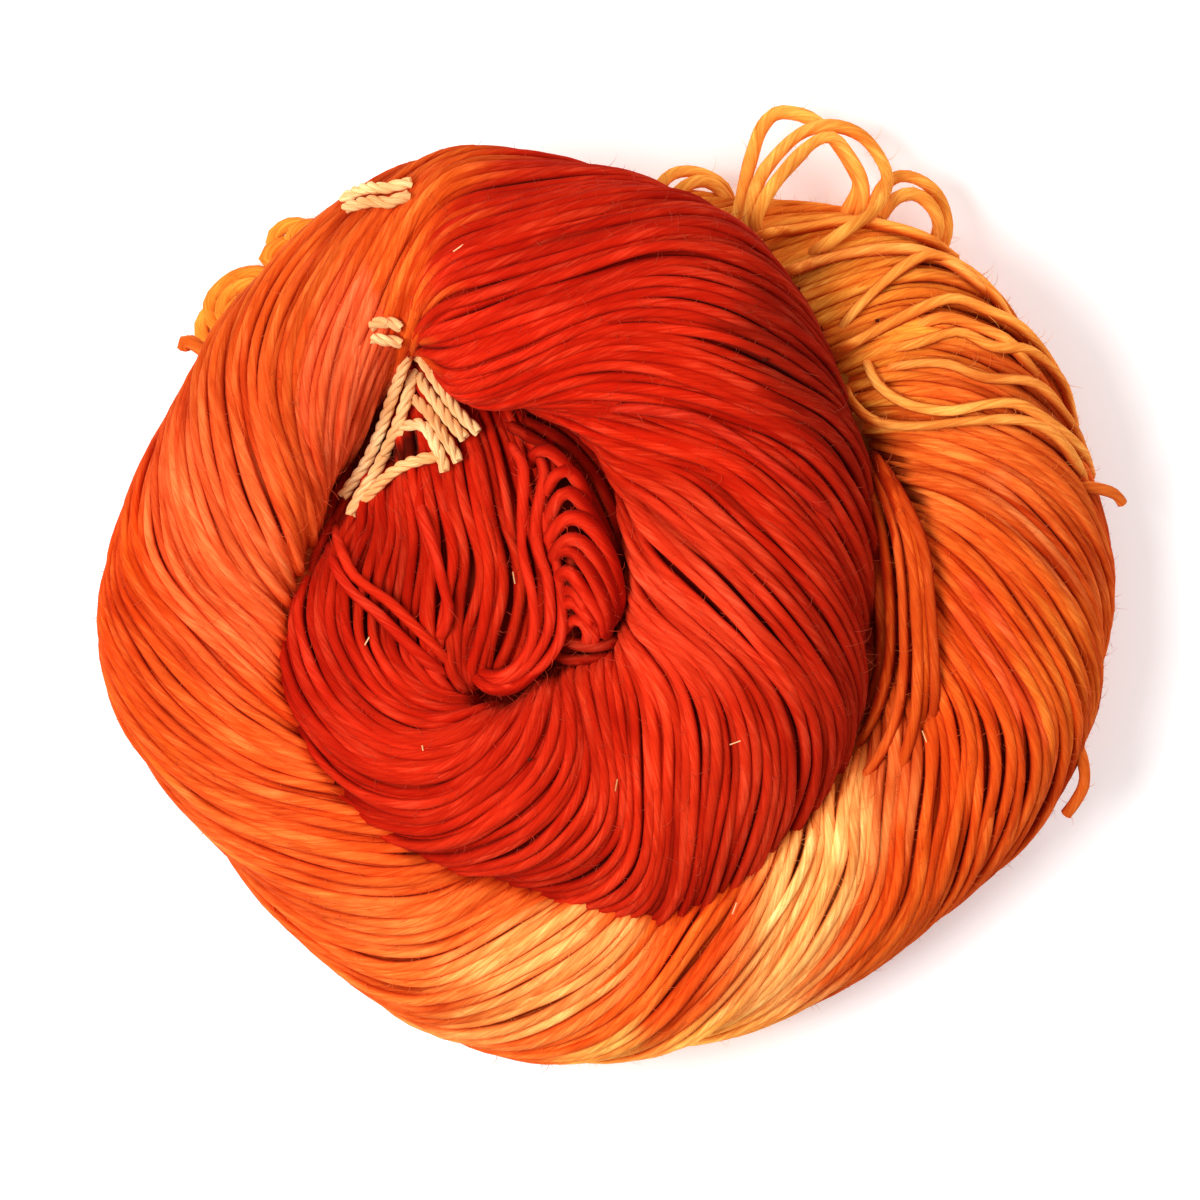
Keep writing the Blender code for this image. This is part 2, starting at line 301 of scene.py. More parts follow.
# the strands of one layer, shared evenly round both legs, each wandering on its own
def strandPaths(inset, shift, rng):
    rows = len(ropeSections) - 1
    places = np.linspace(0, rows, rows * rope["stationsPerRow"] + 1)
    sections = eased(ropeSections, places)
    half = rope["stepsPerLeg"]
    around = np.linspace(0, 2 * math.pi, 2 * half + 1)
    proud = ringPoints(sections, inset - rope["raise"], around)
    sunk = ringPoints(sections, inset + rope["sink"], around)
    steps = np.linalg.norm(np.diff(proud, axis=1), axis=2)
    run = runAlong(proud[:, :-1].mean(axis=1))
    count = rope["strandsPerLeg"]
    paths = []
    for leg in (0, 1):
        legSteps = steps[:, leg * half:(leg + 1) * half]
        length = np.concatenate((np.zeros((len(places), 1)), np.cumsum(legSteps, axis=1)), axis=1)
        length /= length[:, -1:]
        swing = rope["clumpSwing"] * wave(rng, run, rope["clumpLength"])
        for k in range(count):
            share = (k + 0.5 + shift + rope["drift"] * wave(rng, run, rope["driftLength"])
                     + rope["ripple"] * wave(rng, run, rope["rippleLength"]))
            share += rope["clump"] * np.sin(2 * math.pi * k / rope["clumpStrands"] + swing)
            share = np.clip(share / count, rope["legEdge"], 1 - rope["legEdge"])
            at = np.array([np.interp(s, arc, np.arange(half + 1)) for s, arc in zip(share, length)])
            at += leg * half
            upper = pointsOnRings(proud, at)
            lower = pointsOnRings(sunk, at)
            deep = rope["sinkMean"] + rope["sinkSwing"] * wave(rng, run, rope["sinkLength"])
            deep = np.clip(deep, 0, 1)[:, None]
            points = softened(upper + deep * (lower - upper), rope["softening"])
            points[:, 2] = np.where(points[:, 2] > rope["dipBelow"], np.maximum(points[:, 2], rope["lowest"]),
                                    points[:, 2])
            paths.append({"leg": leg, "points": points, "places": places, "deep": deep})
    return paths


def stopColours(places):
    rows = [s[0] for s in dyeStops]
    colours = np.array([hexToLinear(s[1]) for s in dyeStops])
    return np.stack([np.interp(places, rows, colours[:, i]) for i in range(3)], axis=1)


# the dye along one strand, with painted shade on the rope's outer side and in some pools, and one painted
# highlight
def dyeAndShadeAt(points, places, rng):
    slip = dyeAndShading["slip"] * rng.standard_normal()
    jitter = rng.normal(0, dyeAndShading["jitter"], 2)
    rows = eased(ropeSections, np.clip(places, 0, len(ropeSections) - 1.001))
    span = rows[:, 0:2] - rows[:, 2:4]
    outward = np.sum((points[:, 0:2] / mm - rows[:, 2:4]) * span, axis=1) / np.sum(span ** 2, axis=1)
    skew = np.interp(places, dyeAndShading["skewRows"], dyeAndShading["skew"]) * np.clip(outward, 0, 1) ** 3
    colour = stopColours(places + slip - skew)
    # painted shade, darker towards the rope's outer side
    depth = np.interp(places, [e[0] for e in outerSideShade], [e[1] for e in outerSideShade])
    colour *= (1 - depth * np.clip((outward - dyeAndShading["edgeStart"]) / dyeAndShading["edgeWidth"], 0, 1))[:, None]
    for first, last, x, y, length, width, heading, hexText, strength in dyeAndShadePools:
        dx = points[:, 0] + jitter[0] - x * mm
        dy = points[:, 1] + jitter[1] - y * mm
        c, s = math.cos(math.radians(heading)), math.sin(math.radians(heading))
        u = (dx * c + dy * s) / (length * mm)
        v = (-dx * s + dy * c) / (width * mm)
        near = np.clip(1.6 - 1.2 * (u * u + v * v), 0, 1) * strength  # gone a little past the pool's edge
        near *= (places >= first) & (places <= last)
        colour += near[:, None] * (np.array(hexToLinear(hexText)) - colour)
    patch = dyeAndShading["patch"] * rng.standard_normal() + wave(rng, runAlong(points), dyeAndShading["patchLength"])
    return colour * np.exp(patch[:, None] * np.array(dyeAndShading["patchTint"]))


def hankTree():
    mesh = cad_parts["hank"].data
    return BVHTree.FromPolygons([v.co for v in mesh.vertices], [p.vertices for p in mesh.polygons])


# the stretches of a strand that aren't deep inside the wool, as first and last stations
def visibleRuns(points, depth):
    shown = []
    for point in points:
        if point[2] < rope["dipBelow"]:
            shown.append(False)
            continue
        place, normal, _, distance = solid.find_nearest(Vector(point))
        inside = (Vector(point) - place).dot(normal) < 0
        shown.append(not (inside and distance > depth))
    runs, start = [], None
    for i, flag in enumerate(shown + [False]):
        if flag and start is None:
            start = i
        if not flag and start is not None:
            if i - start >= rope["shortestRun"]:
                runs.append((start, i))
            start = None
    return runs


# guide paths for the strands, with dye and painted shade, thickness and seed at each point
def pathsObject(name, lines):
    mesh = bpy.data.meshes.new(name)
    verts, edges, dye, thick, seed = [], [], [], [], []
    for line in lines:
        first = len(verts)
        verts.extend(map(tuple, line["points"]))
        edges.extend((first + i, first + i + 1) for i in range(len(line["points"]) - 1))
        dye.extend(line["dye"])
        thick.extend(line["thick"])
        seed.extend([line["seed"]] * len(line["points"]))
    mesh.from_pydata(verts, edges, [])
    storeDyeAndShade(mesh, dye)
    storeValues(mesh, "thick", thick)
    storeValues(mesh, "seed", seed)
    return addObject(name, mesh)


# a Geometry Nodes tree that takes a mesh and the named inputs, and those inputs' sockets
def newTree(name, inputs):
    tree = bpy.data.node_groups.new(name, "GeometryNodeTree")
    tree.interface.new_socket("Geometry", in_out="INPUT", socket_type="NodeSocketGeometry")
    tree.interface.new_socket("Geometry", in_out="OUTPUT", socket_type="NodeSocketGeometry")
    for label, kind in inputs.items():
        tree.interface.new_socket(label, in_out="INPUT", socket_type="NodeSocket" + kind)
    return tree, addNode(tree, "NodeGroupInput").outputs


def finishTree(tree, geometry, material):
    real = addNode(tree, "GeometryNodeRealizeInstances", {"Geometry": geometry}).outputs["Geometry"]
    real = addNode(tree, "GeometryNodeSetMaterial", {"Geometry": real, "Material": material})
    addNode(tree, "NodeGroupOutput", {"Geometry": real.outputs["Geometry"]})
    return tree


# stores the length run along each curve, which the wool's streaks follow
def storeAlong(tree, curve):
    along = addNode(tree, "GeometryNodeSplineParameter").outputs["Length"]
    stored = addNode(tree, "GeometryNodeStoreNamedAttribute",
                     {"Geometry": curve, "Name": "along", "Value": along}, data_type="FLOAT", domain="POINT")
    return stored.outputs["Geometry"], along


# a smooth tube along each curve, with the place round it stored for the wool's streaks
def tubeAlong(tree, curve, sides, size):
    circle = addNode(tree, "GeometryNodeCurvePrimitiveCircle", {"Resolution": sides, "Radius": 1.0})
    rim = addNode(tree, "GeometryNodeInputPosition").outputs["Position"]
    circle = addNode(tree, "GeometryNodeStoreNamedAttribute",
                     {"Geometry": circle.outputs["Curve"], "Name": "round", "Value": rim},
                     data_type="FLOAT_VECTOR", domain="POINT").outputs["Geometry"]
    tube = addNode(tree, "GeometryNodeCurveToMesh", {"Curve": curve, "Profile Curve": circle, "Scale": size,
                                                     "Fill Caps": True}).outputs["Mesh"]
    smooth = addNode(tree, "GeometryNodeSetShadeSmooth", {"Geometry": tube, "Shade Smooth": True})
    return smooth.outputs["Geometry"]


# bends and slubs of the yarn, counted for each metre: one in 18 mm and one in 10 mm
yarn = {"bendsPerMetre": 55.0, "slubsPerMetre": 95.0}


# yarn along each path: it wanders off the path and is thick and thin
def yarnTree():
    tree, given = newTree("spunYarn", {"Yarn radius": "Float", "Sides": "Int", "Thick and thin": "Float",
                                       "Wander": "Float", "Material": "Material"})
    seed = addNode(tree, "GeometryNodeInputNamedAttribute", {"Name": "seed"}).outputs["Attribute"]
    thick = addNode(tree, "GeometryNodeInputNamedAttribute", {"Name": "thick"}).outputs["Attribute"]
    curve = addNode(tree, "GeometryNodeMeshToCurve", {"Mesh": given["Geometry"]}).outputs["Curve"]
    place = addNode(tree, "GeometryNodeInputPosition").outputs["Position"]
    drift = addNode(tree, "ShaderNodeTexNoise", {"Vector": place, "W": seed, "Scale": yarn["bendsPerMetre"],
                                                 "Detail": 1.0}, noise_dimensions="4D").outputs["Color"]
    centred = addNode(tree, "ShaderNodeVectorMath", {0: drift, 1: (0.5, 0.5, 0.5)},
                      operation="SUBTRACT").outputs["Vector"]
    offset = addNode(tree, "ShaderNodeVectorMath", {0: centred, "Scale": given["Wander"]},
                     operation="SCALE").outputs["Vector"]
    moved = addNode(tree, "GeometryNodeSetPosition", {"Geometry": curve, "Offset": offset}).outputs["Geometry"]
    stored, _ = storeAlong(tree, moved)
    slub = addNode(tree, "ShaderNodeTexNoise", {"Vector": place, "W": seed, "Scale": yarn["slubsPerMetre"],
                                                "Detail": 1.5}, noise_dimensions="4D").outputs["Fac"]
    swell = addNode(tree, "ShaderNodeMath", {0: slub, 1: 0.5}, operation="SUBTRACT").outputs["Value"]
    swell = addNode(tree, "ShaderNodeMath", {0: swell, 1: given["Thick and thin"], 2: thick},
                    operation="MULTIPLY_ADD").outputs["Value"]
    size = addNode(tree, "ShaderNodeMath", {0: swell, 1: given["Yarn radius"]},
                   operation="MULTIPLY").outputs["Value"]
    return finishTree(tree, tubeAlong(tree, stored, given["Sides"], size), given["Material"])


# the plain mesh that a tree makes from a guide object; the guide goes, and its modifier with it
def grown(guide, tree, values):
    modifier = guide.modifiers.new(tree.name, "NODES")
    modifier.node_group = tree
    sockets = {item.name: item.identifier for item in tree.interface.items_tree if item.in_out == "INPUT"}
    for name, value in values.items():
        modifier[sockets[name]] = value
    bpy.context.view_layer.update()
    graph = bpy.context.evaluated_depsgraph_get()
    mesh = bpy.data.meshes.new_from_object(guide.evaluated_get(graph))
    name = guide.name
    bpy.data.objects.remove(guide, do_unlink=True)
    mesh.name = name
    return addObject(name, mesh)


# how much light reaches the valleys between strands
valleys = {"turnedAway": 0.25, "falloff": 1.2, "deepest": 3.2 * mm, "start": 1.15, "least": 0.25}


# stores how open each point is: 1 on top of the wound surface, 0 where it faces in or lies deep; the wool's
# material paints shade from it
def markOpen(piece):
    mesh = piece.data
    normals = np.empty(len(mesh.vertices) * 3)
    mesh.vertex_normals.foreach_get("vector", normals)
    normals = normals.reshape(-1, 3)
    facing = np.empty(len(normals))
    depth = np.empty(len(normals))
    for i, vert in enumerate(mesh.vertices):
        place, normal, _, distance = solid.find_nearest(vert.co)
        facing[i] = normals[i, 0] * normal.x + normals[i, 1] * normal.y + normals[i, 2] * normal.z
        depth[i] = distance if (vert.co - place).dot(normal) < 0 else 0.0
    side = np.clip(facing + valleys["turnedAway"], 0, 1) ** valleys["falloff"]
    sunk = np.clip(valleys["start"] - depth / valleys["deepest"], valleys["least"], 1)
    storeValues(mesh, "open", side * sunk)


# the finish of spun fibre, with a painted highlight and painted shade in the valleys; a tone of 1 leaves the
# dye as it is
woolLook = {
    "fibreTurn": 26 * mm,  # length of one turn of the twist
    "streaksRound": 2.4,  # fibre ends, drawn coarser than real so that they show
    "streakStretch": 34,  # larger makes the streaks shorter
    "patchesPerMetre": 85,
    "streakTone": (0.8, 1.18),
    "patchTone": (0.84, 1.15),
    "valleyShade": (0.52, 1.03),
    "greenPower": 2.5,  # a darker tone is redder too
    "bluePower": 3.6,
    "highlightFrom": (1.04, 1.45),
    "highlightAmount": 0.06,
    "highlightColour": "#ffbc81",
    "fibreHeight": 0.4 * mm,
    "sheenTint": "#ffbc95",
}


# spun fibre: matte, with fine slanting streaks along the twist and a painted highlight, pale and chalky, on the
# palest fibres; where strands lie side by side the valley between them is darker and redder, as painted shade
def woolMaterial(name, fibreDepth=0.5, shaded=True):
    look = woolLook
    material = bpy.data.materials.new(name)
    material.use_nodes = True
    tree = material.node_tree
    shader = tree.nodes["Principled BSDF"]
    dye = addNode(tree, "ShaderNodeAttribute", attribute_name="dye").outputs["Color"]
    along = addNode(tree, "ShaderNodeAttribute", attribute_name="along").outputs["Fac"]
    seed = addNode(tree, "ShaderNodeAttribute", attribute_name="seed").outputs["Fac"]
    rim = addNode(tree, "ShaderNodeAttribute", attribute_name="round").outputs["Vector"]
    angle = addNode(tree, "ShaderNodeMath", {0: along, 1: 2 * math.pi / look["fibreTurn"]},
                    operation="MULTIPLY").outputs[0]
    turned = addNode(tree, "ShaderNodeVectorRotate", {"Vector": rim, "Angle": angle},
                     rotation_type="Z_AXIS").outputs[0]
    stretch = addNode(tree, "ShaderNodeMath", {0: along, 1: look["streakStretch"]},
                      operation="MULTIPLY").outputs[0]
    lift = addNode(tree, "ShaderNodeCombineXYZ", {"Z": stretch}).outputs[0]
    fibre = addNode(tree, "ShaderNodeVectorMath", {0: turned, 1: lift}, operation="ADD").outputs["Vector"]
    streaks = addNode(tree, "ShaderNodeTexNoise", {"Vector": fibre, "W": seed, "Scale": look["streaksRound"],
                                                   "Detail": 3.0, "Roughness": 0.7},
                      noise_dimensions="4D").outputs["Fac"]
    place = addNode(tree, "ShaderNodeTexCoord").outputs["Object"]
    patches = addNode(tree, "ShaderNodeTexNoise", {"Vector": place, "W": seed, "Scale": look["patchesPerMetre"],
                                                   "Detail": 2.0}, noise_dimensions="4D").outputs["Fac"]
    ranges = [(streaks, (0.3, 0.7), look["streakTone"]), (patches, (0.3, 0.7), look["patchTone"])]
    if shaded:
        # painted shade in the valleys between strands, from how open each point is
        openness = addNode(tree, "ShaderNodeAttribute", attribute_name="open").outputs["Fac"]
        ranges.append((openness, (0.1, 0.9), look["valleyShade"]))
    tones = [addNode(tree, "ShaderNodeMapRange", {"Value": value, "From Min": start, "From Max": end,
                                                  "To Min": low, "To Max": high}).outputs["Result"]
             for value, (start, end), (low, high) in ranges]
    tone = tones[0]
    for factor in tones[1:]:
        tone = addNode(tree, "ShaderNodeMath", {0: tone, 1: factor}, operation="MULTIPLY").outputs[0]
    green = addNode(tree, "ShaderNodeMath", {0: tone, 1: look["greenPower"]}, operation="POWER").outputs[0]
    blue = addNode(tree, "ShaderNodeMath", {0: tone, 1: look["bluePower"]}, operation="POWER").outputs[0]
    channels = addNode(tree, "ShaderNodeCombineXYZ", {"X": tone, "Y": green, "Z": blue}).outputs[0]
    painted = addNode(tree, "ShaderNodeVectorMath", {0: dye, 1: channels},
                      operation="MULTIPLY").outputs["Vector"]
    # painted highlight: the palest tones are lifted towards a pale, chalky colour
    highlightAmount = addNode(tree, "ShaderNodeMapRange", {"Value": tone, "From Min": look["highlightFrom"][0],
                                                 "From Max": look["highlightFrom"][1],
                                                 "To Min": 0.0, "To Max": look["highlightAmount"]}).outputs["Result"]
    paintedHighlight = addNode(tree, "ShaderNodeVectorMath", {0: hexToLinear(look["highlightColour"]), "Scale": highlightAmount},
                    operation="SCALE").outputs["Vector"]
    painted = addNode(tree, "ShaderNodeVectorMath", {0: painted, 1: paintedHighlight}, operation="ADD").outputs["Vector"]
    bump = addNode(tree, "ShaderNodeBump", {"Height": streaks, "Strength": fibreDepth,
                                            "Distance": look["fibreHeight"]})
    tree.links.new(painted, shader.inputs["Base Color"])
    tree.links.new(bump.outputs["Normal"], shader.inputs["Normal"])
    shader.inputs["Roughness"].default_value = 0.9
    shader.inputs["Specular IOR Level"].default_value = 0.04
    shader.inputs["Sheen Weight"].default_value = 0.03
    shader.inputs["Sheen Tint"].default_value = (*hexToLinear(look["sheenTint"]), 1)
    return material


solid = hankTree()
wool = woolMaterial("singlesWoolHandDyed")  # hand-dyed singles: soft and matte, with painted shade in the valleys
looseWool = woolMaterial("singlesWoolLoose", shaded=False)  # the same yarn standing free, lit all round
spun = yarnTree()
rng = np.random.default_rng(rope["seed"])

layers = (
    {"name": "upper", "inset": rope["yarnRadius"], "shift": 0.0, "sides": 8,
     "depth": rope["hiddenDepth"], "tone": 1.0},
    {"name": "under", "inset": rope["yarnRadius"] + rope["underLayerInset"], "shift": 0.5, "sides": 6,
     "depth": rope["hiddenDepth"] + rope["underLayerInset"], "tone": dyeAndShading["underLayerShade"]},
)
pieces = []
for layer in layers:
    lines = {0: [], 1: []}
    for path in strandPaths(layer["inset"], layer["shift"], rng):
        dye = dyeAndShadeAt(path["points"], path["places"], rng) * rng.uniform(*dyeAndShading["strandTone"])
        # painted shade: sunk strands darker and redder, proud strands lighter
        dye *= (dyeAndShading["proudLight"] - dyeAndShading["sunkShade"] * path["deep"]) ** np.array(dyeAndShading["shadeTint"])
        # painted shade on the under layer
        dye *= layer["tone"]
        seed = rng.uniform(0, 50)
        for a, b in visibleRuns(path["points"], layer["depth"]):
            lines[path["leg"]].append({"points": path["points"][a:b], "dye": dye[a:b], "seed": seed,
                                       "thick": [rng.uniform(*rope["thickness"])] * (b - a)})
    for leg in (0, 1):
        guide = pathsObject("strands_%s_%s" % (layer["name"], "ab"[leg]), lines[leg])
        piece = grown(guide, spun, {"Yarn radius": rope["yarnRadius"], "Sides": layer["sides"],
                                    "Thick and thin": rope["thickAndThin"], "Wander": rope["wander"],
                                    "Material": wool})
        markOpen(piece)
        pieces.append(piece)
        print("strands", piece.name, len(piece.data.polygons), "faces")


# a smooth route through points given in mm, at an even spacing
def smoothRoute(points, spacing):
    rows = np.array(points, float) * mm
    fine = eased(rows, np.linspace(0, len(rows) - 1, 24 * (len(rows) - 1) + 1))
    run = runAlong(fine)
    count = max(3, int(round(run[-1] / spacing)) + 1)
    at = np.linspace(0, run[-1], count)
    return np.stack([np.interp(at, run, fine[:, i]) for i in range(3)], axis=1)


# a route laid on the wound surface, bridging its small dips, with its two ends tucked in
def laidRoute(flat, lift, spacing=2 * mm, tuck=(0.0, 0.0)):
    route = smoothRoute([(x, y, 0) for x, y in flat], spacing)
    heights = []
    for x, y, _ in route:
        hit = solid.ray_cast(Vector((x, y, 0.1)), Vector((0, 0, -1)))[0]
        if hit is None:
            hit = solid.find_nearest(Vector((x, y, 0.02)))[0]
        heights.append(hit.z)
    padded = np.pad(heights, 2, mode="edge")
    heights = np.max([padded[i:i + len(heights)] for i in (1, 2, 3)], axis=0)
    padded = np.pad(heights, 2, mode="edge")
    heights = np.mean([padded[i:i + len(heights)] for i in range(5)], axis=0)
    route[:, 2] = heights + lift
    run = runAlong(route)
    for fromEnd, depth in ((run, tuck[0]), (run[-1] - run, tuck[1])):
        route[:, 2] -= depth * np.clip(1 - fromEnd / (9 * mm), 0, 1) ** 1.6
    return route


def strandLine(route, hexText, rng, thick=1.0, shade=1.0):
    dye = np.array([hexToLinear(hexText)] * len(route)) * shade * rng.uniform(0.92, 1.08)
    return {"points": route, "dye": dye, "thick": [thick * rng.uniform(0.95, 1.05)] * len(route),
            "seed": rng.uniform(0, 50)}


def spunPiece(name, lines, material=wool, radius=rope["yarnRadius"], wander=0.3 * mm):
    piece = grown(pathsObject(name, lines), spun, {"Yarn radius": radius, "Sides": 8, "Thick and thin": 0.7,
                                                   "Wander": wander, "Material": material})
    markOpen(piece)
    print("spun", name, len(piece.data.polygons), "faces")
    return piece


# the turned-up middle of the coil: strands at the fan's edge, curled turns with their
# thickness, and strands beneath them, darkened as painted shade; x, y, z in mm
middle = {
    "colour": "#d62a12",
    "edgeColour": "#d82a12",
    "fanEdge": (
        ((-12, 29, 34), (-11.7, 22.3, 38.5), (-13.4, 17.2, 40), (-12.8, 10.3, 41), (-10.5, 3.4, 41.5),
         (-9.7, -4.7, 41.5), (-10.5, -11.5, 41), (-14.6, -16.7, 40), (-19.7, -20.4, 39.5),
         (-24.3, -20.2, 38.5), (-28, -17, 34), (-30.4, -13.4, 27)),
        ((-16.3, 28.5, 34), (-13.4, 22.3, 40), (-15, 12.6, 41.5), (-14.4, 6.8, 42), (-12.6, 1.1, 42),
         (-12.2, -7.5, 42), (-14.6, -13.3, 41.5), (-18.2, -17.4, 40.5), (-22.5, -18.9, 39),
         (-26.5, -17.5, 34), (-29.4, -14.4, 27)),
        ((-19.6, 27.5, 36), (-17.4, 22.9, 40.5), (-17.6, 14.9, 42), (-17.5, 6.8, 42.5), (-15.6, -1.8, 43),
         (-15.5, -10, 42.5), (-18.2, -15.6, 41), (-22.5, -18, 39), (-27, -16.6, 34), (-29.6, -13, 27)),
    ),
    "curls": (
        (1.15, ((-16, 24, 36), (-14.6, 26.3, 39), (-12, 26.4, 41), (-9, 23.6, 42.5), (-6.4, 19.8, 42.5),
                (-4.4, 15.6, 41), (-2.6, 11.6, 38))),
        (1.1, ((-14.6, 14, 37), (-12.8, 18.6, 41), (-10.4, 22, 43.5), (-7.6, 22, 43.6), (-5.6, 18.6, 42.6),
               (-4.6, 15.2, 40.6), (-3.4, 11.4, 37))),
        (1.25, ((-13.4, 8.6, 36), (-12.2, 13.4, 41), (-10.2, 17.2, 43), (-7.8, 18, 44), (-5, 15, 44),
                (-2.8, 11.4, 43), (-1, 8.2, 40.6), (0, 5.4, 37))),
        (1.35, ((-13, 5.4, 37), (-11.6, 9.8, 42), (-8.4, 13, 45.2), (-4.6, 11.9, 46), (-1.6, 7.6, 45.6),
                (0.4, 2.4, 44.2), (1.2, -2.5, 42.4), (0.8, -6, 38))),
        (1.3, ((-12.4, 2, 36), (-11, 6.4, 42), (-8.4, 8.8, 45.4), (-5.4, 8, 46.8), (-2.6, 4.2, 46.6),
               (-0.6, 0, 45.6), (0.4, -3.8, 43.8), (0, -7.4, 40))),
        (1.2, ((-11.6, 4.4, 40), (-9.8, 6.6, 43.6), (-7.2, 6.2, 46.2), (-4.8, 3.6, 47.2), (-2.8, 0.2, 46.8),
               (-1.2, -3.6, 45.4), (-0.6, -7, 42.4), (-1, -9.6, 38))),
        (1.3, ((-11.4, -1.6, 37), (-9.8, 1.8, 42), (-7.8, 2.2, 45), (-5.8, -0.6, 46), (-3.6, -3.6, 45.2),
               (-1.8, -6.6, 43), (-1.4, -9.4, 39))),
        (1.05, ((-10.6, -3.4, 38), (-8.6, -1, 42), (-6.8, -2, 44.2), (-5.2, -4.6, 44), (-3.4, -7, 42.2),
                (-2.6, -9.6, 38.4))),
        (1.25, ((-10.4, -6.4, 36), (-9, -3.8, 41), (-7, -3.6, 43), (-5, -6.2, 43), (-3.6, -8.6, 41),
                (-3.6, -11, 37))),
        (1.2, ((-9.4, -9, 37), (-7.6, -7, 41), (-5.6, -7.4, 41.8), (-4.6, -9.4, 40.4), (-5, -11.6, 36.6))),
    ),
    "beneath": (
        ((-20, 31.5, 33), (-13.5, 27.6, 37.5), (-8.2, 22.8, 40), (-4.4, 17.4, 41), (-1.4, 11.4, 40.4),
         (0.8, 6, 39), (1.8, 0, 36.5), (1.6, -6, 34)),
        ((-17, 32.4, 31), (-10.4, 29, 35), (-5, 23.6, 38), (-1.2, 17.4, 39), (1.4, 10.6, 38.4), (2.4, 3, 36),
         (2.2, -4, 33)),
        ((-14, 33, 29), (-7.4, 29.6, 33.6), (-2, 23.4, 36.4), (1.4, 16, 37), (3, 8, 35.6)),
        ((-13, 34.5, 31), (-5.6, 31.4, 35), (0.6, 25, 37), (3.8, 17, 37)),
        ((-9, 34.5, 33), (-2, 30.6, 36), (3.4, 24, 38)),
        ((-11.4, -9, 34), (-8.6, -11, 37), (-5.4, -12, 37.4), (-2, -12, 37), (1, -11, 35)),
        ((-12.6, -13, 33), (-9, -14.6, 35), (-5, -15, 36), (-1, -14.6, 35)),
        ((-12.6, 12, 33), (-9.6, 8, 38), (-7, 2, 40.6), (-5, -4, 40), (-4, -9, 37)),
        ((-10.6, 14, 34), (-7.4, 9.4, 40), (-4.6, 4, 41.6), (-2.4, -2, 41), (-1.6, -8, 37)),
        ((-50, 22, 18), (-53.5, 16, 20), (-56, 10, 22), (-58, 4, 22.5), (-59.5, -3, 22)),
        ((-52, 24, 17), (-55.5, 17, 19), (-58.2, 10, 21), (-60.2, 3, 21), (-61.2, -4, 20)),
        ((-49, 20, 18), (-52, 14.5, 20.5), (-54.6, 9, 24), (-57, 3, 25), (-58.4, -3, 24)),
        ((-56, 15, 17), (-59, 9, 19), (-61, 2, 19.5), (-62.4, -5, 19)),
        ((-55.2, 13.6, 20), (-57.2, 10, 24.5), (-58.8, 6, 27), (-60, 0, 27.4), (-61, -6, 25)),
        ((-18, 34, 22), (-12, 31, 25), (-6, 28, 28), (0, 23, 29)),
        ((-16, 31, 21), (-10, 28, 24), (-4, 24.6, 27), (1, 20, 28)),
        ((-14, 29, 20), (-9, 26, 23), (-4, 22, 26), (1, 16, 27)),
    ),
}
centreLines = [strandLine(smoothRoute(p, 1.6 * mm), middle["edgeColour"], rng) for p in middle["fanEdge"]]
for thickness, points in middle["curls"]:
    centreLines.append(strandLine(smoothRoute(points, 1.4 * mm), middle["colour"], rng, thickness))
# painted shade: the strands beneath the curls are darkened to a little over half
for points in middle["beneath"]:
    centreLines.append(strandLine(smoothRoute(points, 1.4 * mm), middle["colour"], rng, 1.1, 0.55))

# strands that stray over the wound surface: colour, lift, x and y in mm
strays = (
    ("#d2260c", 0.9, ((-55.4, 12.8), (-54.6, 10), (-53.2, 6.2), (-51.1, 2.1), (-47.6, -0.8), (-44, -3.2),
                      (-39.4, -7.6), (-35.3, -11.8), (-32, -15.4), (-29, -19))),
    ("#c41c08", 0.4, ((-57, 9.6), (-55.4, 5.6), (-53.4, 1.4), (-50.2, -2.4), (-46.4, -5.4), (-42.3, -9.4),
                      (-38.1, -13.5), (-33, -17.8), (-29.5, -20.5))),
    ("#cc220c", 0.9, ((-37.5, 21), (-37.5, 14.9), (-35.2, 8), (-33.5, 1.1), (-32.1, -4.7), (-32.9, -8.7),
                      (-35.2, -12), (-38, -14))),
    ("#c82410", 0.7, ((-4, 34.5), (4, 34.6), (16, 32.7), (24.9, 28.2), (32.6, 22.5), (40.2, 16.1), (45, 11))),
    ("#b81c0c", 0.9, ((32, 27), (34.2, 29), (36.6, 28.8), (38.6, 26.6), (39.4, 24))),
)
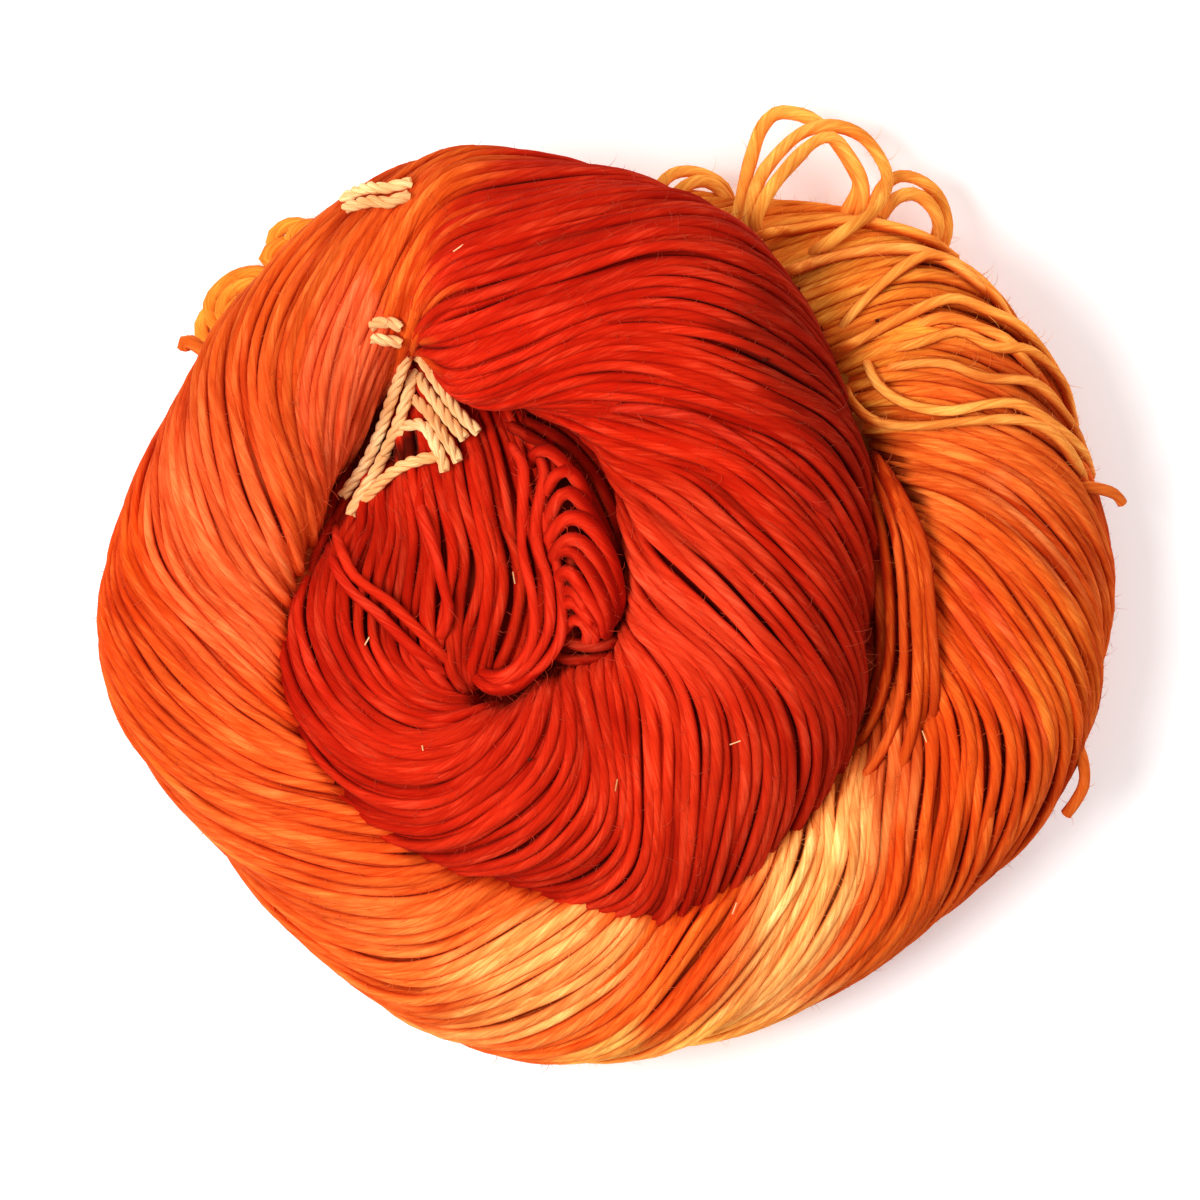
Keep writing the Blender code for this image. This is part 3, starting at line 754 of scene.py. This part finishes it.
# a narrow ribbon of strands that runs down the groove beside the upper turn: colour, then x, y, z in mm
ribbon = (
    ("#b8380c", ((48.6, 27, 20), (49, 22, 26), (50, 17, 30), (51.4, 10, 31.5), (52.6, 3, 32), (53.4, -4, 32),
                 (53.6, -11, 31.6), (53, -18, 31), (50.4, -25, 28.5), (46, -31, 24))),
    ("#c4420e", ((50.4, 27, 22), (50.8, 23, 29), (51.9, 17.5, 33), (53.4, 10.9, 34.3), (54.5, 4.3, 34.8),
                 (55.2, -2.4, 34.8), (55.4, -8.4, 34.4), (55, -15.6, 33.8), (53, -23.9, 32.6),
                 (49.4, -31, 29.6), (44, -36.6, 24))),
    ("#d8561c", ((51.2, 27, 24), (52, 23.6, 31), (54.2, 17.5, 35.2), (56.1, 10.9, 36.4), (57.2, 4.3, 36.9),
                 (57.8, -2.4, 36.9), (58, -9, 36.8), (58, -15.6, 36.4), (57, -23.9, 35.8),
                 (54.4, -31.5, 34.6), (50.6, -37.6, 32), (45.6, -42.4, 27), (41.6, -45, 22))),
    ("#d04c14", ((52, 26.4, 26), (53.2, 23.6, 33), (56, 17.5, 36.8), (58.4, 10.9, 38.1), (59.7, 4.3, 38.5),
                 (60.3, -2.4, 38.5), (60.6, -9, 38.3), (60.8, -15.6, 38), (60.4, -23.9, 37.6),
                 (59.2, -30.4, 36.8), (57.4, -36, 34.6), (55.6, -39.4, 29.4), (54.4, -41, 23))),
    ("#c8480e", ((53, 25, 27), (55.8, 19.2, 35.6), (59.2, 12, 38), (61, 5, 38.4), (61.7, -2, 38.4),
                 (62, -9, 38), (62.2, -17, 37.4), (61.8, -24, 36.6), (60.8, -29.4, 33.6), (59.8, -32.6, 28),
                 (59, -34, 22))),
    ("#c64210", ((53.6, 24.4, 29), (57.6, 17.4, 37.2), (60.8, 10.4, 39.2), (62.4, 3.6, 39.6),
                 (63, -3.5, 39.4), (63.6, -10, 39), (64, -16.6, 38.4), (64, -22.6, 37.4),
                 (63.4, -27.2, 34.2), (62.8, -29.8, 29), (62.4, -31, 23))),
)
redStrays = [strandLine(smoothRoute(points, 2 * mm), colour, rng, rng.uniform(0.92, 1.08))
             for colour, points in ribbon]
redStrays += [strandLine(laidRoute(points, lift * mm, tuck=(12 * mm, 9 * mm)), colour, rng)
              for colour, lift, points in strays]

# strands that stray over the yellow end: colour, lift, x and y in mm
yellowStrays = (
    ("#f8923a", 1.0, ((43, 48.5), (45.4, 50.8), (49.8, 55.9), (57.1, 62.5), (62.9, 65.5), (68.8, 64),
                      (74.6, 59.6), (80, 52))),
    ("#f6923a", 0.9, ((43.5, 45), (45.4, 46.4), (52, 50.1), (59.3, 53.8), (67.3, 56.7), (74.6, 54.5),
                      (82, 50.8), (88.6, 42.8), (91, 36))),
    ("#f4923c", 1.1, ((48, 48.5), (49.8, 46.4), (52.7, 39.8), (58.5, 35.8), (66.6, 34.4), (74.6, 35.8),
                      (80.5, 35.8), (86.4, 32.5), (93.7, 26.7), (96, 22))),
    ("#f4903c", 1.0, ((46.5, 39), (47.6, 36.2), (52, 32.5), (60.7, 31.4), (71.7, 32.5), (82, 32.5),
                      (89.3, 28.5), (95, 20))),
    ("#f28c36", 0.9, ((51, 45.6), (53.4, 46.4), (60.7, 47.9), (68.8, 50.1), (75.4, 47.2), (83.4, 46.4),
                      (90, 40.6), (93, 32))),
    ("#f28a36", 0.8, ((56, 49.5), (59.3, 50.8), (65.9, 53), (73.2, 50.8), (79, 47.9), (86, 40))),
    ("#fc963a", 0.8, ((28, 68), (32.2, 69.9), (39.5, 71.3), (46.8, 72.5), (54, 71.8), (62, 69.5),
                      (69, 65.5))),
    ("#f89440", 0.8, ((33, 61), (42, 64.5), (52, 66.5), (62, 66.2), (71, 61.8), (79, 54))),
    ("#f28c3a", 0.7, ((51, 42), (58, 43.5), (66, 43.8), (74, 41), (84, 40), (91, 33), (95, 26))),
)
yellowLaid = [strandLine(laidRoute(points, lift * mm, tuck=(8 * mm, 8 * mm)), colour, rng)
              for colour, lift, points in yellowStrays]

# loops of yarn that stand out past the hank, one list of strands for each; x, y, z in mm
loops = {
    "end_loop_1": (
        ((24, 66, 22), (24.9, 71.6, 28), (26.2, 78, 25), (27.8, 84.3, 18), (30, 91.3, 12), (33.2, 95, 9.5),
         (37.7, 94.9, 9), (40.6, 93.6, 9), (44.1, 90.7, 9), (47.9, 85, 10), (49.8, 80.5, 13),
         (48.4, 76.5, 15), (45, 72, 13)),),
    "end_loop_2": (
        ((27, 67, 27), (27.2, 72.2, 32.5), (28.5, 78, 28), (31.3, 83.7, 22), (37.7, 90.4, 14),
         (44.1, 92.4, 11.5), (50.4, 90.3, 11.5), (54.6, 84.6, 14), (55.2, 79.9, 18), (52.7, 74.8, 25),
         (47.3, 70.9, 30.5), (43.5, 68.2, 31.5), (40, 66, 28)),),
    "end_loop_3": (
        ((29.5, 67, 28), (28.8, 72.2, 34), (31, 77.5, 31), (34.5, 82.4, 26), (40.2, 88.4, 17),
         (44.3, 89.8, 14.5), (47.8, 86.4, 13), (50.4, 81.1, 14.5), (50.4, 76, 16), (48, 71, 12)),),
    "side_loop": (
        ((52, 74.5, 16), (54.3, 79.6, 15), (57.5, 82, 13), (61, 81.8, 12), (64.6, 79.6, 11), (66.8, 76, 11),
         (67.6, 71.5, 13), (66.5, 67.5, 11)),
        ((54, 73.5, 18), (57, 77.4, 17), (61, 78.4, 15.5), (64.6, 75.6, 14.5), (65.8, 71.5, 14),
         (64, 67.5, 12))),
    "small_loop": (
        ((8, 77.5, 15), (11.6, 82, 14), (15.6, 83.2, 11.5), (19.8, 82.2, 10.5), (23, 79.6, 11),
         (24.4, 75, 11)),
        ((11, 76, 17), (14.4, 79.6, 16.5), (18.2, 81, 14.5), (21.6, 79.6, 13.5), (23.4, 76.4, 14),
         (23, 73, 12))),
    "left_loop_1": (
        ((-55, 67, 7), (-60, 71.6, 6), (-64.5, 72.8, 5), (-68, 70.8, 4), (-67.8, 67.6, 4), (-64, 65.4, 4.5),
         (-59, 62.5, 6)),
        ((-58, 66.5, 8), (-63, 69.2, 7), (-67.4, 68.4, 5.5), (-69.6, 66, 4.5), (-66.5, 63.8, 5),
         (-61, 61, 7)),
        ((-54, 69, 9), (-58.5, 72, 8), (-62.5, 72, 7), (-64.5, 69.4, 6.5), (-62, 65, 7))),
    "left_loop_2": (
        ((-65, 60, 6), (-70.5, 63, 5), (-76, 62.2, 4), (-80.4, 58.4, 3.2), (-80.8, 54, 3), (-77, 50, 4),
         (-72, 48, 6)),
        ((-66, 58, 8), (-71.5, 60.6, 7), (-76.6, 59.2, 6), (-78.6, 55.4, 5.4), (-76.4, 51.4, 6),
         (-72, 49, 7)),
        ((-66.5, 61.5, 3.5), (-72, 61.6, 2.6), (-78.5, 57.6, 1.8), (-82.4, 53.6, 1.8), (-82.2, 49.8, 2),
         (-78, 46, 4)),
        ((-65, 57, 9), (-71, 58.4, 9), (-75.4, 56.4, 8.4), (-76.8, 52.8, 8), (-73, 48.6, 8))),
}
# snipped ends of the yarn
looseEnds = {
    "outer_nub": ((-79, 45.6, 22), (-81.6, 47, 22.4), (-83.6, 48.4, 22), (-85, 48.8, 21), (-85.4, 47.4, 20)),
    "loose_end_right": ((90, 20.5, 24), (95, 19.6, 24), (99, 18.8, 22.6), (101, 17.9, 21.4), (102.2, 16.4, 20)),
    "loose_end_front": ((91.5, -29, 24), (94, -35, 24.2), (94.4, -39.6, 23.2), (92.8, -43.2, 21.6),
                        (91, -45.8, 20)),
}
looseLook = {"loop": ("#fc9e3e", 1.15), "left": ("#f4902e", 1.35), "end": ("#dc6420", 1.1)}


# EndLoop1 for the CAD node end_loop_1
def pieceName(node):
    return "".join(word.title() for word in node.split("_"))


# a loop or an end; one that has no CAD node of its own stands beside one that has
def loosePiece(node, strands, look, spacing):
    colour, thickness = looseLook[look]
    lines = [strandLine(smoothRoute(points, spacing), colour, rng, thickness) for points in strands]
    piece = spunPiece(pieceName(node), lines, looseWool)
    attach(piece, "root")
    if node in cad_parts:
        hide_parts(node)
    return piece


loosePieces = [loosePiece(node, strands, "left" if "left" in node else "loop", 1.8 * mm)
               for node, strands in loops.items()]
loosePieces += [loosePiece(node, [points], "end", 1.5 * mm) for node, points in looseEnds.items()]
pieces.append(spunPiece("middleTurns", centreLines, wander=0.8 * mm))
pieces.append(spunPiece("strayStrands", redStrays))
yellowPiece = spunPiece("strayStrandsYellow", yellowLaid)

# cotton ties; routes are x and y in mm on the wound surface
ties = {
    "cordDiameter": 2.4 * mm,
    "plies": 3,
    "twistLength": 8.4 * mm,
    "colour": "#fdc888",
    "shadedColour": "#eeaa68",
    "lift": 1.7 * mm,
    "spacing": 1.2 * mm,
    "tuck": (2.5 * mm, 0),
    "smallTuck": (1.6 * mm, 1.6 * mm),
    "shortestCord": 30 * mm,
    "routes": {
        "tie_left_outer": ((-40.4, 45.3), (-43.3, 37.8), (-45.6, 31.5), (-48.4, 25.2), (-50.7, 21.7),
                           (-53.6, 17.7)),
        "tie_left_inner": ((-39.1, 42.6), (-41.4, 34.6), (-44.1, 28.2), (-47, 22.4), (-49.8, 18.3), (-52, 14)),
        "tie_return": ((-49.6, 16.6), (-46.8, 19.4), (-44.2, 21.8), (-41, 23.8), (-37, 25), (-33.6, 25.6)),
        "tie_right_outer": ((-38.4, 45.6), (-37.2, 44.4), (-35.2, 41.3), (-31.8, 36.1), (-28.9, 32.7),
                            (-26.3, 30.4)),
        "tie_right_inner": ((-38, 41.5), (-37.3, 39.8), (-35, 36.6), (-32.2, 32.7), (-29, 29)),
        "tie_tail_upper": ((-39, 37), (-38, 36), (-36, 34), (-34.1, 31), (-31.8, 27.4), (-30.2, 24.6)),
        "tie_tail_lower": ((-42.4, 30), (-40.8, 31.3), (-38.6, 32), (-36.6, 31), (-35, 28.2), (-33.6, 25),
                           (-32.8, 22.6)),
        "edge_tie_upper": ((-53, 76.5), (-51, 77.6), (-48, 78.4), (-44.5, 78.2), (-41, 79), (-39.5, 79.2)),
        "edge_tie_lower": ((-52.5, 74.5), (-50.5, 75), (-47, 75.6), (-44, 75.2), (-41.2, 76.2), (-39.8, 76.6)),
        "small_tie_upper": ((-47.5, 51), (-46.5, 51.5), (-44.5, 51.8), (-42.5, 51.3), (-41.5, 50.8)),
        "small_tie_lower": ((-47.3, 48.8), (-46.3, 48.6), (-44.5, 48.2), (-42.6, 48), (-41.6, 47.8)),
    },
}


# plies that twist round one another along each path
def cabledTree():
    tree, given = newTree("cabledCotton", {"Cord radius": "Float", "Twist length": "Float", "Plies": "Int",
                                           "Material": "Material"})
    curve = addNode(tree, "GeometryNodeMeshToCurve", {"Mesh": given["Geometry"]}).outputs["Curve"]
    curve = addNode(tree, "GeometryNodeResampleCurve", {"Curve": curve, "Length": 0.35 * mm},
                    mode="LENGTH").outputs["Curve"]
    curve, along = storeAlong(tree, curve)
    plies = addNode(tree, "GeometryNodeDuplicateElements", {"Geometry": curve, "Amount": given["Plies"]},
                    domain="SPLINE")
    turn = addNode(tree, "ShaderNodeMath", {0: along, 1: given["Twist length"]}, operation="DIVIDE").outputs[0]
    share = addNode(tree, "ShaderNodeMath", {0: plies.outputs["Duplicate Index"], 1: given["Plies"]},
                    operation="DIVIDE").outputs[0]
    angle = addNode(tree, "ShaderNodeMath", {0: turn, 1: share}, operation="ADD").outputs[0]
    angle = addNode(tree, "ShaderNodeMath", {0: angle, 1: 2 * math.pi}, operation="MULTIPLY").outputs[0]
    normal = addNode(tree, "GeometryNodeInputNormal").outputs["Normal"]
    tangent = addNode(tree, "GeometryNodeInputTangent").outputs["Tangent"]
    outward = addNode(tree, "ShaderNodeVectorRotate", {"Vector": normal, "Axis": tangent, "Angle": angle},
                      rotation_type="AXIS_ANGLE").outputs[0]
    reach = addNode(tree, "ShaderNodeMath", {0: given["Cord radius"], 1: 0.5}, operation="MULTIPLY").outputs[0]
    offset = addNode(tree, "ShaderNodeVectorMath", {0: outward, "Scale": reach},
                     operation="SCALE").outputs["Vector"]
    moved = addNode(tree, "GeometryNodeSetPosition", {"Geometry": plies.outputs["Geometry"],
                                                      "Offset": offset}).outputs["Geometry"]
    # each ply is a little over half as thick as the cord, so that the three press together
    size = addNode(tree, "ShaderNodeMath", {0: given["Cord radius"], 1: 0.56}, operation="MULTIPLY").outputs[0]
    return finishTree(tree, tubeAlong(tree, moved, 8, size), given["Material"])


cabled = cabledTree()
cotton = woolMaterial("cabledCottonTwine", 0.35, False)  # undyed three-ply cotton: smoother, clear twist
for node, points in ties["routes"].items():
    smallTie = "edge" in node or "small" in node
    route = laidRoute(points, ties["lift"], ties["spacing"], ties["smallTuck"] if smallTie else ties["tuck"])
    colour = ties["shadedColour"] if node == "tie_return" else ties["colour"]
    piece = grown(pathsObject(pieceName(node), [strandLine(route, colour, rng)]), cabled,
                  {"Cord radius": ties["cordDiameter"] / 2, "Twist length": ties["twistLength"],
                   "Plies": ties["plies"], "Material": cotton})
    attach(piece, "root")
    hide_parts(node)

# fibres that stand off the yarn: long flyaway hairs and short fuzz
fibres = {
    "flyaway": {"length": 2.6 * mm, "radius": 0.05 * mm, "perSquareMetre": 30000.0},
    "fuzz": {"length": 1.15 * mm, "radius": 0.045 * mm, "perSquareMetre": 72000.0},
    "lean": 0.55,  # from 0, any way, to more, straight out
    "looseShare": 1.6,  # loose strands are hairier
    "seed": 5,
}


# bent, tapering fibres scattered over the faces that don't look down
def fibreTree():
    tree, given = newTree("flyawayFibres", {"Fibre length": "Float", "Fibre radius": "Float", "Lean": "Float",
                                            "Density": "Float", "Seed": "Int", "Material": "Material"})
    facing = addNode(tree, "ShaderNodeSeparateXYZ", {0: addNode(tree, "GeometryNodeInputNormal").outputs[0]})
    upper = addNode(tree, "FunctionNodeCompare", {0: facing.outputs["Z"], 1: -0.3}, operation="GREATER_THAN")
    points = addNode(tree, "GeometryNodeDistributePointsOnFaces",
                     {"Mesh": given["Geometry"], "Selection": upper.outputs[0], "Density": given["Density"],
                      "Seed": given["Seed"]})
    bend = addNode(tree, "GeometryNodeCurveQuadraticBezier",
                   {"Resolution": 2, "Start": (0, 0, 0), "Middle": (0.3, 0, 0.45), "End": (0.1, 0.35, 1)})
    factor = addNode(tree, "GeometryNodeSplineParameter").outputs["Factor"]
    thin = addNode(tree, "ShaderNodeMapRange", {"Value": factor, "From Min": 0.0, "From Max": 1.0,
                                                "To Min": 1.0, "To Max": 0.25}).outputs["Result"]
    slim = addNode(tree, "ShaderNodeMath", {0: given["Fibre radius"], 1: given["Fibre length"]},
                   operation="DIVIDE").outputs[0]
    size = addNode(tree, "ShaderNodeMath", {0: thin, 1: slim}, operation="MULTIPLY").outputs[0]
    ring = addNode(tree, "GeometryNodeCurvePrimitiveCircle", {"Resolution": 3, "Radius": 1.0}).outputs["Curve"]
    hair = addNode(tree, "GeometryNodeCurveToMesh", {"Curve": bend.outputs["Curve"], "Profile Curve": ring,
                                                     "Scale": size, "Fill Caps": True}).outputs["Mesh"]
    spread = addNode(tree, "FunctionNodeRandomValue", {0: (-1, -1, -1), 1: (1, 1, 1), "Seed": given["Seed"]},
                     data_type="FLOAT_VECTOR").outputs["Value"]
    stand = addNode(tree, "ShaderNodeVectorMath", {0: points.outputs["Normal"], "Scale": given["Lean"]},
                    operation="SCALE").outputs["Vector"]
    heading = addNode(tree, "ShaderNodeVectorMath", {0: spread, 1: stand}, operation="ADD").outputs["Vector"]
    turned = addNode(tree, "FunctionNodeAlignRotationToVector", {"Vector": heading}, axis="Z")
    scale = addNode(tree, "FunctionNodeRandomValue", {2: 0.4, 3: 1.5, "Seed": given["Seed"]},
                    data_type="FLOAT").outputs[1]
    scale = addNode(tree, "ShaderNodeMath", {0: scale, 1: given["Fibre length"]},
                    operation="MULTIPLY").outputs[0]
    tufts = addNode(tree, "GeometryNodeInstanceOnPoints",
                    {"Points": points.outputs["Points"], "Instance": hair,
                     "Rotation": turned.outputs["Rotation"], "Scale": scale}).outputs["Instances"]
    return finishTree(tree, tufts, given["Material"])


# single loose fibres: the yarn's dye with its painted shade, a little paler because light passes through them
def fibreMaterial():
    material = bpy.data.materials.new("looseWoolFibre")
    material.use_nodes = True
    tree = material.node_tree
    shader = tree.nodes["Principled BSDF"]
    dye = addNode(tree, "ShaderNodeAttribute", attribute_name="dye").outputs["Color"]
    pale = addNode(tree, "ShaderNodeVectorMath", {0: dye, 1: (0.06, 0.04, 0.02)},
                   operation="ADD").outputs["Vector"]
    tree.links.new(pale, shader.inputs["Base Color"])
    shader.inputs["Roughness"].default_value = 0.8
    shader.inputs["Specular IOR Level"].default_value = 0.1
    return material


def fibrePiece(name, sources, size, share, seed):
    shape = bmesh.new()
    for source in sources:
        shape.from_mesh(source.data)
    mesh = bpy.data.meshes.new(name)
    shape.to_mesh(mesh)
    shape.free()
    piece = grown(addObject(name, mesh), scattered,
                  {"Fibre length": size["length"], "Fibre radius": size["radius"], "Lean": fibres["lean"],
                   "Density": share * size["perSquareMetre"], "Seed": seed, "Material": looseFibre})
    for vert in piece.data.vertices:
        vert.co.z = max(vert.co.z, 0.1 * mm)  # none reaches into the floor
    print("fibres", name, len(piece.data.polygons), "faces")
    return piece


scattered = fibreTree()
looseFibre = fibreMaterial()
hairy = (("FirstLeg", [pieces[0]], 1.0), ("SecondLeg", [pieces[1]], 1.0),
         ("Loops", [yellowPiece, *pieces[4:], *loosePieces], fibres["looseShare"]))
seed = fibres["seed"]
for kind in ("flyaway", "fuzz"):
    for part, sources, share in hairy:
        pieces.append(fibrePiece(kind + part, sources, fibres[kind], share, seed))
        seed += 1

# straw flecks and dark specks caught in the wool: x, y in mm and heading in degrees
flecks = {
    "straw": {"colour": "#eab27c", "length": 2.4, "radius": 0.13 * mm,
              "at": ((-48.4, -11.4, 60), (-37, -32.8, 100), (1, -39.4, 80), (16.4, -13.2, -60),
                     (-19.2, 1.4, 100), (17.8, -14, -35), (24.4, -31, 20), (24.4, -64, 70), (-30, 66, 35),
                     (62, -30, -70))},
    "dark": {"colour": "#4a1408", "length": 0.9, "radius": 0.3 * mm,
             "at": ((-16, -34.4, 30), (37.2, 58.6, 80), (52.8, 52.4, 10), (30, 44, 20))},
}
straw = woolMaterial("dryStraw", 0.1, False)  # cut dry stalk: matte and nearly smooth
for kind, fleck in flecks.items():
    lines = []
    for x, y, heading in fleck["at"]:
        dx = fleck["length"] / 2 * math.cos(math.radians(heading))
        dy = fleck["length"] / 2 * math.sin(math.radians(heading))
        route = laidRoute(((x - dx, y - dy), (x, y), (x + dx, y + dy)), 0.25 * mm, 0.4 * mm)
        lines.append(strandLine(route, fleck["colour"], rng))
    pieces.append(spunPiece(kind + "Flecks", lines, straw, fleck["radius"], 0.1 * mm))

# the wool deep between the strands: the hank's own form, drawn in and darkened as painted shade
core = {"inset": 3.0 * mm, "tone": 0.30}
shape = bmesh.new()
shape.from_mesh(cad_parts["hank"].data)
bmesh.ops.remove_doubles(shape, verts=shape.verts, dist=0.01 * mm)
shape.normal_update()
for vert, normal in [(v, v.normal.copy()) for v in shape.verts]:
    vert.co -= normal * core["inset"]
coreMesh = bpy.data.meshes.new("innerWool")
shape.to_mesh(coreMesh)
shape.free()
coreMesh.shade_smooth()
middles = np.empty((len(ropeSections), 3))
middles[:, 0:2] = (ropeSections[:, 0:2] + ropeSections[:, 2:4]) / 2 * mm
middles[:, 2] = (ropeSections[:, 4] + ropeSections[:, 5]) / 2 * mm
corePoints = np.array([v.co for v in coreMesh.vertices])
nearestRow = np.argmin(np.linalg.norm(corePoints[:, None, :] - middles[None], axis=2), axis=1)
# painted shade: the rope's dye at less than a third of its brightness
storeDyeAndShade(coreMesh, stopColours(nearestRow) * core["tone"])
coreMesh.materials.append(woolMaterial("matteWoolShadow", 0.5, False))  # wool in the strands' shade: its colour darkened as painted shade
pieces.append(addObject("innerWool", coreMesh))
print("inner wool", len(coreMesh.polygons), "faces")

for piece in pieces:
    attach(piece, "root")
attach(yellowPiece, "root")
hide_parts("hank")

# floor, light and camera
studio = {
    "floorReach": 3,
    "paper": "#f7f7f7",
    "white": "#fffefd",
    "paperGlow": 0.24,
    "skyStrength": 0.46,
    "lampSize": 1.0,
    "lamps": {"windowLight": ((-0.95, -0.1, 1.35), 26), "fillLight": ((0.8, 0.9, 1.1), 8)},
    "lens": 240,
    "sensor": 36,
    "eye": (-2.2 * mm, -3.0 * mm, 1.62),
}
reach = studio["floorReach"]
floorMesh = bpy.data.meshes.new("floor")
floorMesh.from_pydata([(-reach, -reach, 0), (reach, -reach, 0), (reach, reach, 0), (-reach, reach, 0)],
                      [], [(0, 1, 2, 3)])
floor = addObject("floor", floorMesh)
paper = bpy.data.materials.new("matteWhitePaper")  # uncoated backdrop paper, evenly bright
paper.use_nodes = True
paperInputs = paper.node_tree.nodes["Principled BSDF"].inputs
paperInputs["Base Color"].default_value = (*hexToLinear(studio["paper"]), 1)
paperInputs["Roughness"].default_value = 0.9
paperInputs["Emission Color"].default_value = (*hexToLinear(studio["white"]), 1)
paperInputs["Emission Strength"].default_value = studio["paperGlow"]
floorMesh.materials.append(paper)

world = bpy.data.worlds.new("studio")
bpy.context.scene.world = world
world.use_nodes = True
sky = world.node_tree.nodes["Background"].inputs
sky["Color"].default_value = (*hexToLinear(studio["white"]), 1)
sky["Strength"].default_value = studio["skyStrength"]
for name, (place, watts) in studio["lamps"].items():
    light = bpy.data.lights.new(name, "AREA")
    light.shape = "DISK"
    light.size = studio["lampSize"]
    light.energy = watts
    lamp = addObject(name, light)
    lamp.location = place
    lamp.rotation_euler = (-Vector(place)).to_track_quat("-Z", "Y").to_euler()
bpy.context.scene.view_settings.view_transform = "Standard"

camera = bpy.data.cameras.new("camera")
camera.lens = studio["lens"]
camera.sensor_width = studio["sensor"]
eye = addObject("camera", camera)
eye.location = studio["eye"]
bpy.context.scene.camera = eye
print("studio set")
